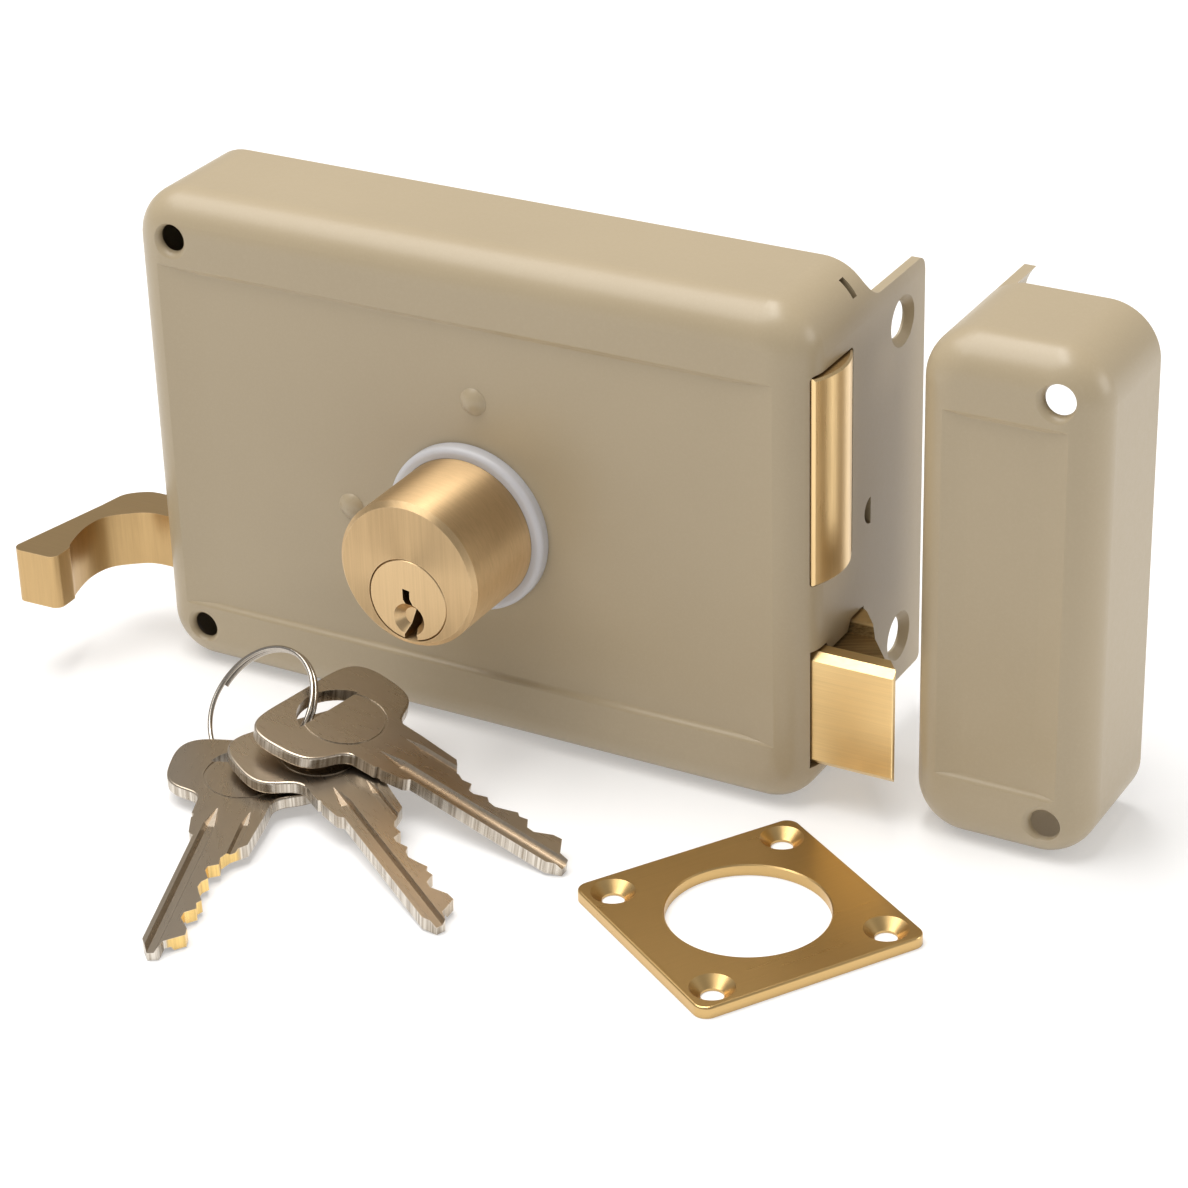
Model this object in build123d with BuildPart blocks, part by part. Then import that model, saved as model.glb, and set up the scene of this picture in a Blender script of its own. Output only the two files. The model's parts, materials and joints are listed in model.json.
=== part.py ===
from build123d import *
import os
from math import sin, cos, asin, atan2, radians, pi

os.makedirs("parts", exist_ok=True)

# Rim door lock set: lock case with deadbolt, spring latch and pull handle, two key
# cylinders, box strike, square cylinder plate and three keys on a split ring.
# Frame: millimetres, +X to the strike, +Y into the door, +Z up.
# The origin is where the cylinder axis meets the door face.

# ---- driving dimensions -------------------------------------------------------
case_w, case_h, case_d = 123.0, 86.0, 23.7
x_left, x_right = -63.0, 60.0            # backset 60
z_bot, z_top = -38.7, 47.3
y_front, y_back = -23.7, 0.0
sheet, front_wall = 1.5, 2.0
edge_r, corner_r = 6.5, 8.5
panel_step, panel_z0, panel_z1, step_run = 0.7, -26.7, 35.0, 0.75
dome_r, dome_h = 2.35, 1.1
y_panel = y_front + panel_step
y_in = y_front + front_wall              # inner face of the front wall
plate_t = 1.5
flange_y, flange_z0, flange_z1 = 19.3, -30.6, 41.3
flange_holes, flange_hole_r = [(11.0, 33.5), (11.0, -22.5)], 3.05
face_holes = [(-54.5, 39.9), (-54.5, -31.3)]

cyl_r, plug_r, plug_bore_r = 12.5, 7.1, 7.15
plug_z = -4.4
cyl_face_y = -42.7
inner_end_y = -17.0
outer_face_y, outer_end_y = 40.0, -5.0
bush_r, bush_sleeve_r, bush_in_r = 14.35, 13.5, 12.55
inner_chambers = [-37.5, -33.7, -29.9, -26.1, -22.3]
outer_chambers = [35.7, 31.9, 28.1, 24.3, 20.5]

bolt_y0, bolt_y1, bolt_z0, bolt_z1 = -20.1, -7.3, 1.2, 36.1
bolt_x0, nose_rise = 36.0, 1.7
car_y0, car_y1 = -12.6, -10.2
throw = 12.5
crank_r = throw / 2 / sin(radians(45))
crank_pin_r = 2.0

latch_y0, latch_y1, latch_z0, latch_z1 = -19.9, -2.9, -30.95, -10.8
latch_x0, latch_tip = 34.0, 73.2
tail_y0, tail_y1, tail_z0, tail_z1 = -14.8, -11.8, -24.3, -19.7
spring_y, spring_z = -13.3, -28.0

posts = [(1.5, 22.0), (-22.8, -1.65)]
standoffs = [(-40.0, 38.2), (30.0, 38.2), (-20.0, -29.8), (-54.0, 6.0)]

hand_z0, hand_z1 = -25.4, -15.6

st_x, st_w, st_h, st_d, st_y = 75.4, 29.8, 85.5, 23.7, -19.7
st_flange_z1 = 43.4
st_holes = [(98.5, 39.9), (98.5, -31.7)]

pl_c, pl_side, pl_t, pl_rot, pl_hole_r, pl_half = (65.1, -53.6), 39.2, 1.9, 57.53, 12.7, 15.03

# keys: blade tip on the floor, turn about Z and slope of the blade
key_t, key_bl, key_mid = 2.2, 27.6, 4.0
key_pose = [(-7.697, -102.867, -71.318, 2.565),
            (26.444, -76.032, -32.772, 6.285),
            (34.150, -52.842, -9.534, 10.821)]
ring_c, ring_th, ring_ph, ring_r = (-28.078, -45.102, -30.043), 0.796, 4.363, 10.786
ring_wire_r, ring_pitch, ring_start = 0.42, 0.9, 232.0

xc, zc = (x_left + x_right) / 2, (z_bot + z_top) / 2


def front_plane(y, x=0.0, z=0.0):
    """Plane facing the room (-Y), X to the right, Z up."""
    return Plane(origin=(x, y, z), x_dir=(1, 0, 0), z_dir=(0, -1, 0))


def back_plane(y, x=0.0, z=0.0):
    """Plane facing the door (+Y), with its own x along -X and y along Z."""
    return Plane(origin=(x, y, z), x_dir=(-1, 0, 0), z_dir=(0, 1, 0))


def right_plane(x):
    """Plane facing the strike (+X), with its own x along Y and y along Z."""
    return Plane(origin=(x, 0, 0), x_dir=(0, 1, 0), z_dir=(1, 0, 0))


# section of the pressed step: two equal arcs that lead from the recess out to the front
rise = panel_step + 0.03
step_r = (rise ** 2 / 4 + step_run ** 2) / rise
step_half = atan2(step_run, step_r - rise / 2) / 2
step_dy, step_dz = step_r * (1 - cos(step_half)), step_r * sin(step_half)


def run_out(length):
    """Radius and middle point of the flat arc by which the recess runs out at its ends."""
    drop = panel_step + 0.32
    r = (length ** 2 + drop ** 2) / (2 * drop)
    h = asin(length / r) / 2
    return drop, r * sin(h), r * (1 - cos(h))


# ---- case cover ------------------------------------------------------------------
# shallow recess pressed across the middle of the front
case_run = 11.8
drop, run_x, run_y = run_out(case_run)
with BuildPart() as case_recess:
    with BuildSketch(Plane.YZ.offset(x_left)):
        with BuildLine():
            l1 = Line((y_panel, panel_z0 + step_run), (y_panel, panel_z1 - step_run))
            l2 = ThreePointArc((y_panel, panel_z1 - step_run), (y_panel - step_dy, panel_z1 - step_run + step_dz), (y_panel - rise / 2, panel_z1))
            l3 = ThreePointArc((y_panel - rise / 2, panel_z1), (y_panel - rise + step_dy, panel_z1 + step_run - step_dz), (y_panel - rise, panel_z1 + step_run))
            l4 = Polyline((y_panel - rise, panel_z1 + step_run), (y_front - 1, panel_z1 + step_run), (y_front - 1, panel_z0 - step_run), (y_panel - rise, panel_z0 - step_run))
            l5 = ThreePointArc((y_panel - rise, panel_z0 - step_run), (y_panel - rise + step_dy, panel_z0 - step_run + step_dz), (y_panel - rise / 2, panel_z0))
            l6 = ThreePointArc((y_panel - rise / 2, panel_z0), (y_panel - step_dy, panel_z0 + step_run - step_dz), (y_panel, panel_z0 + step_run))
        make_face()
    extrude(amount=case_w)
    with BuildSketch(Plane.XY.offset(z_bot)):
        with BuildLine():
            l1 = Polyline((x_left + 3.2, y_panel + 0.02 - drop), (x_left + 3.2, y_front - 2), (x_right - 3.2, y_front - 2), (x_right - 3.2, y_panel + 0.02 - drop))
            l2 = ThreePointArc((x_right - 3.2, y_panel + 0.02 - drop), (x_right - 3.2 - case_run + run_x, y_panel + 0.02 - run_y), (x_right - 3.2 - case_run, y_panel + 0.02))
            l3 = Line((x_right - 3.2 - case_run, y_panel + 0.02), (x_left + 3.2 + case_run, y_panel + 0.02))
            l4 = ThreePointArc((x_left + 3.2 + case_run, y_panel + 0.02), (x_left + 3.2 + case_run - run_x, y_panel + 0.02 - run_y), (x_left + 3.2, y_panel + 0.02 - drop))
        make_face()
    extrude(amount=case_h, mode=Mode.INTERSECT)

# hollow of the case
with BuildPart() as case_hollow:
    with BuildSketch(front_plane(flange_y + 1.0, xc, zc)):
        RectangleRounded(case_w - 2 * sheet, case_h - 2 * sheet, corner_r - sheet)
    extrude(amount=flange_y + case_d - front_wall + 1.0)
    fillet(case_hollow.faces().sort_by(Axis.Y)[0].edges(), edge_r - 2.3)

# all that is trimmed off behind the case, which leaves the edge flange on the right wall
with BuildPart() as case_trim:
    with BuildSketch(right_plane(x_left - 1)):
        with Locations((15.0, zc)):
            Rectangle(30.0, case_h + 20)
    extrude(amount=case_w - 5.0)
    with BuildSketch(right_plane(x_right - 6.0)):
        with Locations((15.0, zc)):
            Rectangle(30.0, case_h + 20)
        with BuildLine():
            Polyline((-3, flange_z1 + 3.5), (0, flange_z1 + 3.5))
            ThreePointArc((0, flange_z1 + 3.5), (1.025, flange_z1 + 1.025), (3.5, flange_z1))
            Line((3.5, flange_z1), (flange_y - 1.2, flange_z1))
            ThreePointArc((flange_y - 1.2, flange_z1), (flange_y - 0.3515, flange_z1 - 0.3515), (flange_y, flange_z1 - 1.2))
            Line((flange_y, flange_z1 - 1.2), (flange_y, flange_z0 + 1.2))
            ThreePointArc((flange_y, flange_z0 + 1.2), (flange_y - 0.3515, flange_z0 + 0.3515), (flange_y - 1.2, flange_z0))
            Line((flange_y - 1.2, flange_z0), (3.5, flange_z0))
            ThreePointArc((3.5, flange_z0), (1.025, flange_z0 - 1.025), (0, flange_z0 - 3.5))
            Polyline((0, flange_z0 - 3.5), (-3, flange_z0 - 3.5), (-3, flange_z1 + 3.5))
        make_face(mode=Mode.SUBTRACT)
    extrude(amount=8)

with BuildPart() as case_cover:
    with BuildSketch(front_plane(flange_y, xc, zc)):
        RectangleRounded(case_w, case_h, corner_r)
    extrude(amount=case_d + flange_y)
    fillet(case_cover.faces().sort_by(Axis.Y)[0].edges(), edge_r)
    add(case_recess.part, mode=Mode.SUBTRACT)
    add(case_hollow.part, mode=Mode.SUBTRACT)
    add(case_trim.part, mode=Mode.SUBTRACT)
    # cylinder hole and rivet holes of the two posts
    with BuildSketch(front_plane(y_front - 2)):
        Circle(bush_sleeve_r + 0.1)
        with Locations(*posts):
            Circle(1.65)
    extrude(amount=-6, mode=Mode.SUBTRACT)
    # screw holes with a rounded lip, thinned behind
    for hx, hz in face_holes:
        with BuildSketch(Plane(origin=(hx, 0, hz), x_dir=(1, 0, 0), z_dir=(0, 0, 1))):
            with BuildLine():
                Polyline((0, y_front + 4), (0, y_front - 1), (3.6, y_front - 1), (3.6, y_front - 0.03))
                ThreePointArc((3.6, y_front - 0.03), (2.681, y_front + 0.351), (2.3, y_front + 1.27))
                Polyline((2.3, y_front + 1.27), (2.3, y_front + 4), (0, y_front + 4))
            make_face()
        revolve(axis=Axis((hx, 0, hz), (0, 1, 0)), mode=Mode.SUBTRACT)
    with BuildSketch(front_plane(y_front + 1.4)):
        with Locations(*face_holes):
            Circle(4.2)
    extrude(amount=-3, mode=Mode.SUBTRACT)
    # deadbolt window
    with BuildSketch(right_plane(x_right - 5)):
        with Locations(((bolt_y0 + bolt_y1) / 2, (bolt_z0 + bolt_z1) / 2)):
            RectangleRounded(bolt_y1 - bolt_y0 + 0.6, bolt_z1 - bolt_z0 + 0.6, 0.8)
    extrude(amount=8, mode=Mode.SUBTRACT)
    # latch window, with the guide tab hanging from its top edge
    with BuildSketch(right_plane(x_right - 5)):
        with BuildLine():
            Polyline((latch_y0 - 0.4, latch_z0 - 0.4), (latch_y1 + 0.4, latch_z0 - 0.4), (latch_y1 + 0.4, latch_z1 + 0.35),
                     (-7.2, latch_z1 + 0.35), (-8.4, latch_z1 - 1.5), (-14.9, latch_z1 - 1.5), (-16.1, latch_z1 + 0.35),
                     (latch_y0 - 0.4, latch_z1 + 0.35), (latch_y0 - 0.4, latch_z0 - 0.4))
        make_face()
    extrude(amount=8, mode=Mode.SUBTRACT)
    # pull handle slot in the left wall
    with BuildSketch(right_plane(x_left - 1)):
        with Locations((-13.3, (hand_z0 + hand_z1) / 2)):
            RectangleRounded(7.3, hand_z1 - hand_z0 + 0.6, 0.9)
    extrude(amount=4, mode=Mode.SUBTRACT)
    # countersunk flange holes and the half-round notch by the deadbolt
    with Locations(right_plane(x_right)):
        with Locations(*flange_holes):
            CounterSinkHole(radius=flange_hole_r, counter_sink_radius=4.3, depth=4, counter_sink_angle=95)
    with BuildSketch(right_plane(x_right - 3)):
        with Locations((-0.2, 5.6)):
            Circle(2.3)
        with Locations((-2.7, 5.6)):
            Rectangle(5.0, 6.0, mode=Mode.INTERSECT)
    extrude(amount=5, mode=Mode.SUBTRACT)
    # narrow slot across the top right corner
    with Locations(Location((x_right - corner_r + (corner_r - 0.8) * sin(radians(47.5)), -4.1, z_top - corner_r + (corner_r - 0.8) * cos(radians(47.5))), (0, 47.5, 0))):
        Box(3.6, 1.4, 4.0, mode=Mode.SUBTRACT)
case_cover.part.label = "case_cover"
export_step(case_cover.part, "parts/case_cover.step")

# ---- back plate ------------------------------------------------------------------
with BuildPart() as back_plate:
    with BuildSketch(front_plane(y_back, xc, zc)):
        RectangleRounded(case_w - 2 * sheet - 0.2, case_h - 2 * sheet - 0.2, corner_r - sheet - 0.1)
    extrude(amount=plate_t)
    with BuildSketch(front_plane(y_back + 1)):
        Circle(cyl_r + 0.15)
        with Locations(*face_holes):
            Circle(2.8)
        with Locations(*posts):
            Circle(1.65)
        with Locations((4.0, -30.6), (4.0, -27.0)):
            Circle(1.3)
    extrude(amount=4, mode=Mode.SUBTRACT)
    with Locations(back_plane(y_back)):
        with Locations(*[(-x, z) for x, z in standoffs]):
            CounterSinkHole(radius=1.55, counter_sink_radius=2.9, depth=4)
back_plate.part.label = "back_plate"
export_step(back_plate.part, "parts/back_plate.step")

with BuildPart() as case_standoffs:
    with BuildSketch(front_plane(-plate_t - 0.05)):
        with Locations(*standoffs):
            Circle(3.0)
    extrude(amount=-(y_in + 0.05) - plate_t - 0.05)
    with BuildSketch(front_plane(-plate_t - 0.05)):
        with Locations(*standoffs):
            Circle(1.5)
    extrude(amount=9, mode=Mode.SUBTRACT)
case_standoffs.part.label = "case_standoffs"
export_step(case_standoffs.part, "parts/case_standoffs.step")

with BuildPart() as back_plate_screws:
    with BuildSketch(front_plane(-0.1)):
        with Locations(*standoffs):
            Circle(1.45)
    extrude(amount=9)
    for sx, sz in standoffs:
        with BuildSketch(Plane(origin=(sx, 0, sz), x_dir=(1, 0, 0), z_dir=(0, 0, 1))):
            with BuildLine():
                Polyline((0, -0.1), (2.75, -0.1), (1.4, -1.35), (0, -1.35), (0, -0.1))
            make_face()
        revolve(axis=Axis((sx, 0, sz), (0, 1, 0)))
        with BuildSketch(Plane(origin=(sx, -0.1, sz), x_dir=(1, 0, 0), z_dir=(0, -1, 0))):
            Rectangle(4.0, 0.6)
            Rectangle(0.6, 4.0)
        extrude(amount=0.7, mode=Mode.SUBTRACT)
back_plate_screws.part.label = "back_plate_screws"
export_step(back_plate_screws.part, "parts/back_plate_screws.step")

# ---- two posts riveted through the front, seen outside as low domes -----------------
dome_ball = (dome_r ** 2 + (dome_h - 0.02) ** 2) / (2 * (dome_h - 0.02))
dome_half = asin(dome_r / dome_ball) / 2

with BuildPart() as guide_post:
    px, pz = posts[0]
    with BuildSketch(Plane(origin=(px, 0, pz), x_dir=(1, 0, 0), z_dir=(0, 0, 1))):
        with BuildLine():
            l1 = ThreePointArc((0, y_panel - dome_h), (dome_ball * sin(dome_half), y_panel - dome_h + dome_ball * (1 - cos(dome_half))), (dome_r, y_panel - 0.02))
            l2 = Polyline((dome_r, y_panel - 0.02), (1.6, y_panel - 0.02), (1.6, y_in + 0.05), (3.0, y_in + 0.05), (3.0, -plate_t - 0.05), (1.6, -plate_t - 0.05), (1.6, -0.1), (0, -0.1), (0, y_panel - dome_h))
        make_face()
    revolve(axis=Axis((px, 0, pz), (0, 1, 0)))
guide_post.part.label = "guide_post"
export_step(guide_post.part, "parts/guide_post.step")

with BuildPart() as side_post:
    px, pz = posts[1]
    with BuildSketch(Plane(origin=(px, 0, pz), x_dir=(1, 0, 0), z_dir=(0, 0, 1))):
        with BuildLine():
            l1 = ThreePointArc((0, y_panel - dome_h), (dome_ball * sin(dome_half), y_panel - dome_h + dome_ball * (1 - cos(dome_half))), (dome_r, y_panel - 0.02))
            l2 = Polyline((dome_r, y_panel - 0.02), (1.6, y_panel - 0.02), (1.6, y_in + 0.05), (3.0, y_in + 0.05), (3.0, -plate_t - 0.05), (1.6, -plate_t - 0.05), (1.6, -0.1), (0, -0.1), (0, y_panel - dome_h))
        make_face()
    revolve(axis=Axis((px, 0, pz), (0, 1, 0)))
side_post.part.label = "side_post"
export_step(side_post.part, "parts/side_post.step")

# ---- white bush round the inside cylinder -----------------------------------------
with BuildPart() as cylinder_bush:
    with BuildSketch(front_plane(y_in - 0.1)):
        Circle(bush_sleeve_r)
    extrude(amount=1.8)
    with BuildSketch(front_plane(y_panel - 0.02)):
        Circle(bush_r)
    extrude(amount=2.3)
    fillet(cylinder_bush.faces().sort_by(Axis.Y)[0].edges(), 1.0)
    with BuildSketch(front_plane(0)):
        Circle(bush_in_r)
    extrude(amount=40, mode=Mode.SUBTRACT)
cylinder_bush.part.label = "cylinder_bush"
export_step(cylinder_bush.part, "parts/cylinder_bush.step")


# ---- inside cylinder --------------------------------------------------------------
with BuildPart() as inner_cylinder_housing:
    with BuildSketch(front_plane(inner_end_y)):
        Circle(cyl_r)
    extrude(amount=inner_end_y - cyl_face_y)
    chamfer(inner_cylinder_housing.faces().sort_by(Axis.Y)[0].edges(), 0.8)
    with BuildSketch(front_plane(0, 0, plug_z)):
        Circle(plug_bore_r)
    extrude(amount=60, mode=Mode.SUBTRACT)
    for cy in inner_chambers:
        with BuildSketch(Plane(origin=(0, cy, plug_z), x_dir=(1, 0, 0), z_dir=(0, 0, 1))):
            Circle(1.45)
        extrude(amount=15.4, mode=Mode.SUBTRACT)
inner_cylinder_housing.part.label = "inner_cylinder_housing"
export_step(inner_cylinder_housing.part, "parts/inner_cylinder_housing.step")

keyway_pts = [(-0.95, 1.9), (-0.95, 0.0), (-0.35, -0.9), (0.75, -1.3), (0.55, -2.2), (0.05, -3.6), (-0.95, -6.3), (-0.95, -8.0), (1.4, -8.0),
              (1.4, -6.3), (1.0, -5.1), (2.0, -3.5), (2.35, -2.1), (0.9, -0.9), (0.3, 0.3), (0.35, 1.7), (-0.95, 1.9)]

with BuildPart() as inner_plug:
    with BuildSketch(front_plane(inner_end_y + 0.1, 0, plug_z)):
        Circle(plug_r)
    extrude(amount=inner_end_y + 0.1 - cyl_face_y)
    chamfer(inner_plug.faces().sort_by(Axis.Y)[0].edges(), 0.25)
    with BuildSketch(front_plane(-13.2, 0, plug_z)):
        Circle(4.5)
        Rectangle(7.6, 12, mode=Mode.INTERSECT)
    extrude(amount=4.0)
    with BuildSketch(front_plane(-13.5, 0, plug_z)):
        Circle(8)
        Circle(3.4, mode=Mode.SUBTRACT)
    extrude(amount=0.7, mode=Mode.SUBTRACT)
    # paracentric keyway and the dished lead-in at its foot
    with BuildSketch(front_plane(inner_end_y - 1.5, 0, plug_z)):
        with BuildLine():
            Polyline(*keyway_pts)
        make_face()
    extrude(amount=40, mode=Mode.SUBTRACT)
    with BuildSketch(Plane(origin=(0, 0, plug_z - 3.4), x_dir=(1, 0, 0), z_dir=(0, 0, 1))):
        with BuildLine():
            Polyline((0, cyl_face_y - 0.1), (2.9, cyl_face_y - 0.1), (1.5, cyl_face_y + 1.4), (0, cyl_face_y + 1.4), (0, cyl_face_y - 0.1))
        make_face()
    revolve(axis=Axis((0, 0, plug_z - 3.4), (0, 1, 0)), mode=Mode.SUBTRACT)
    for cy in inner_chambers:
        with BuildSketch(Plane(origin=(0, cy, plug_z + 1.5), x_dir=(1, 0, 0), z_dir=(0, 0, 1))):
            Circle(1.45)
        extrude(amount=8, mode=Mode.SUBTRACT)
inner_plug.part.label = "inner_plug"
export_step(inner_plug.part, "parts/inner_plug.step")

with BuildPart() as inner_key_pins:
    for cy in inner_chambers:
        with BuildSketch(Plane(origin=(0, cy, plug_z + 2.0), x_dir=(1, 0, 0), z_dir=(0, 0, 1))):
            Circle(1.35)
        extrude(amount=4.7)
    chamfer(inner_key_pins.faces().filter_by(Axis.Z).group_by(Axis.Z)[0].edges(), 0.6)
inner_key_pins.part.label = "inner_key_pins"
export_step(inner_key_pins.part, "parts/inner_key_pins.step")

with BuildPart() as inner_driver_pins:
    for cy in inner_chambers:
        with BuildSketch(Plane(origin=(0, cy, plug_z + 7.2), x_dir=(1, 0, 0), z_dir=(0, 0, 1))):
            Circle(1.35)
        extrude(amount=3.6)
inner_driver_pins.part.label = "inner_driver_pins"
export_step(inner_driver_pins.part, "parts/inner_driver_pins.step")

with BuildPart() as inner_crank:
    with BuildSketch(front_plane(-14.3, 0, plug_z)):
        Circle(6.9)
        with Locations((-crank_r * sin(radians(45)), crank_r * cos(radians(45)))):
            Circle(3.3)
        with BuildLine():
            Polyline((-6.6, 0.6), (-8.6, 4.0), (-4.0, 8.6), (-0.6, 6.6), (-6.6, 0.6))
        make_face()
    extrude(amount=2.3)
    with BuildSketch(front_plane(-14.0, 0, plug_z)):
        Circle(4.55)
        Rectangle(7.7, 12, mode=Mode.INTERSECT)
        with Locations((-crank_r * sin(radians(45)), crank_r * cos(radians(45)))):
            Circle(1.55)
    extrude(amount=4, mode=Mode.SUBTRACT)
inner_crank.part.label = "inner_crank"
export_step(inner_crank.part, "parts/inner_crank.step")

with BuildPart() as inner_crank_pin:
    ax, az = -crank_r * sin(radians(45)), plug_z + crank_r * cos(radians(45))
    with BuildSketch(front_plane(-9.6, ax, az)):
        Circle(crank_pin_r)
    extrude(amount=4.65)
    with BuildSketch(front_plane(-14.2, ax, az)):
        Circle(1.5)
    extrude(amount=2.4)
inner_crank_pin.part.label = "inner_crank_pin"
export_step(inner_crank_pin.part, "parts/inner_crank_pin.step")

with BuildPart() as inner_crank_clip:
    with BuildSketch(front_plane(-13.55, 0, plug_z)):
        Circle(5.6)
        Circle(3.45, mode=Mode.SUBTRACT)
        with Locations((0, -5)):
            Rectangle(5.0, 10, mode=Mode.SUBTRACT)
    extrude(amount=0.6)
inner_crank_clip.part.label = "inner_crank_clip"
export_step(inner_crank_clip.part, "parts/inner_crank_clip.step")

with BuildPart() as inner_cylinder_nut:
    with BuildSketch(front_plane(-19.2)):
        RegularPolygon(radius=17.0, side_count=8, rotation=22.5)
        Circle(cyl_r + 0.03, mode=Mode.SUBTRACT)
    extrude(amount=2.4)
inner_cylinder_nut.part.label = "inner_cylinder_nut"
export_step(inner_cylinder_nut.part, "parts/inner_cylinder_nut.step")

# ---- outside cylinder, through the door --------------------------------------------
with BuildPart() as outer_cylinder_housing:
    with BuildSketch(back_plane(y_back)):
        Circle(cyl_r)
    extrude(amount=outer_face_y)
    with BuildSketch(back_plane(outer_end_y)):
        Circle(cyl_r - 0.2)
    extrude(amount=-outer_end_y)
    chamfer(outer_cylinder_housing.faces().sort_by(Axis.Y)[-1].edges(), 1.5)
    with BuildSketch(back_plane(outer_end_y - 1, 0, plug_z)):
        Circle(plug_bore_r)
    extrude(amount=60, mode=Mode.SUBTRACT)
    for cy in outer_chambers:
        with BuildSketch(Plane(origin=(0, cy, plug_z), x_dir=(1, 0, 0), z_dir=(0, 0, 1))):
            Circle(1.45)
        extrude(amount=15.4, mode=Mode.SUBTRACT)
outer_cylinder_housing.part.label = "outer_cylinder_housing"
export_step(outer_cylinder_housing.part, "parts/outer_cylinder_housing.step")

with BuildPart() as outer_plug:
    with BuildSketch(back_plane(outer_end_y - 0.1, 0, plug_z)):
        Circle(plug_r)
    extrude(amount=outer_face_y - outer_end_y + 0.1)
    chamfer(outer_plug.faces().sort_by(Axis.Y)[-1].edges(), 0.25)
    with BuildSketch(back_plane(-8.9, 0, plug_z)):
        Circle(4.5)
        Rectangle(7.6, 12, mode=Mode.INTERSECT)
    extrude(amount=4.0)
    with BuildSketch(back_plane(-8.6, 0, plug_z)):
        Circle(8)
        Circle(3.4, mode=Mode.SUBTRACT)
    extrude(amount=0.7, mode=Mode.SUBTRACT)
    with BuildSketch(back_plane(2.0, 0, plug_z)):
        with BuildLine():
            Polyline(*keyway_pts)
        make_face()
    extrude(amount=45, mode=Mode.SUBTRACT)
    with BuildSketch(Plane(origin=(0, 0, plug_z - 3.4), x_dir=(1, 0, 0), z_dir=(0, 0, 1))):
        with BuildLine():
            Polyline((0, outer_face_y + 0.1), (2.9, outer_face_y + 0.1), (1.5, outer_face_y - 1.4), (0, outer_face_y - 1.4), (0, outer_face_y + 0.1))
        make_face()
    revolve(axis=Axis((0, 0, plug_z - 3.4), (0, 1, 0)), mode=Mode.SUBTRACT)
    for cy in outer_chambers:
        with BuildSketch(Plane(origin=(0, cy, plug_z + 1.5), x_dir=(1, 0, 0), z_dir=(0, 0, 1))):
            Circle(1.45)
        extrude(amount=8, mode=Mode.SUBTRACT)
outer_plug.part.label = "outer_plug"
export_step(outer_plug.part, "parts/outer_plug.step")

with BuildPart() as outer_key_pins:
    for cy in outer_chambers:
        with BuildSketch(Plane(origin=(0, cy, plug_z + 2.0), x_dir=(1, 0, 0), z_dir=(0, 0, 1))):
            Circle(1.35)
        extrude(amount=4.7)
    chamfer(outer_key_pins.faces().filter_by(Axis.Z).group_by(Axis.Z)[0].edges(), 0.6)
outer_key_pins.part.label = "outer_key_pins"
export_step(outer_key_pins.part, "parts/outer_key_pins.step")

with BuildPart() as outer_driver_pins:
    for cy in outer_chambers:
        with BuildSketch(Plane(origin=(0, cy, plug_z + 7.2), x_dir=(1, 0, 0), z_dir=(0, 0, 1))):
            Circle(1.35)
        extrude(amount=3.6)
outer_driver_pins.part.label = "outer_driver_pins"
export_step(outer_driver_pins.part, "parts/outer_driver_pins.step")

with BuildPart() as outer_crank:
    with BuildSketch(back_plane(-7.8, 0, plug_z)):
        Circle(6.9)
        with Locations((0, -crank_r)):
            Circle(3.3)
        with Locations((0, -crank_r / 2)):
            Rectangle(6.6, crank_r)
    extrude(amount=2.3)
    with BuildSketch(back_plane(-9.0, 0, plug_z)):
        Circle(4.55)
        Rectangle(7.7, 12, mode=Mode.INTERSECT)
        with Locations((0, -crank_r)):
            Circle(1.55)
    extrude(amount=5, mode=Mode.SUBTRACT)
outer_crank.part.label = "outer_crank"
export_step(outer_crank.part, "parts/outer_crank.step")

with BuildPart() as outer_crank_pin:
    with BuildSketch(back_plane(-12.8, 0, plug_z - crank_r)):
        Circle(crank_pin_r)
    extrude(amount=4.95)
    with BuildSketch(back_plane(-7.9, 0, plug_z - crank_r)):
        Circle(1.5)
    extrude(amount=2.4)
outer_crank_pin.part.label = "outer_crank_pin"
export_step(outer_crank_pin.part, "parts/outer_crank_pin.step")

with BuildPart() as outer_crank_clip:
    with BuildSketch(back_plane(-8.55, 0, plug_z)):
        Circle(5.6)
        Circle(3.45, mode=Mode.SUBTRACT)
        with Locations((0, 5)):
            Rectangle(5.0, 10, mode=Mode.SUBTRACT)
    extrude(amount=0.6)
outer_crank_clip.part.label = "outer_crank_clip"
export_step(outer_crank_clip.part, "parts/outer_crank_clip.step")

with BuildPart() as outer_cylinder_nut:
    with BuildSketch(front_plane(-plate_t - 0.05)):
        RegularPolygon(radius=17.0, side_count=8, rotation=22.5)
        Circle(cyl_r - 0.17, mode=Mode.SUBTRACT)
    extrude(amount=2.4)
outer_cylinder_nut.part.label = "outer_cylinder_nut"
export_step(outer_cylinder_nut.part, "parts/outer_cylinder_nut.step")

# ---- deadbolt ----------------------------------------------------------------------
with BuildPart() as deadbolt_head:
    with BuildSketch(Plane.XY.offset(bolt_z0)):
        with BuildLine():
            Polyline((x_right, bolt_y0), (bolt_x0, bolt_y0), (bolt_x0, bolt_y1), (x_right, bolt_y1))
            ThreePointArc((x_right, bolt_y1), (x_right + nose_rise, (bolt_y0 + bolt_y1) / 2), (x_right, bolt_y0))
        make_face()
    extrude(amount=bolt_z1 - bolt_z0)
    chamfer(deadbolt_head.edges().filter_by(GeomType.CIRCLE), 0.35)
    with BuildSketch(Plane.XY.offset(5.0)):
        with Locations(((bolt_x0 + 48.0) / 2, (car_y0 + car_y1) / 2)):
            Rectangle(48.0 - bolt_x0 + 0.1, car_y1 - car_y0 + 0.1)
    extrude(amount=27.0, mode=Mode.SUBTRACT)
    with BuildSketch(front_plane(0)):
        with Locations((42.0, 11.0), (42.0, 26.0)):
            Circle(2.02)
    extrude(amount=30, mode=Mode.SUBTRACT)
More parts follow.
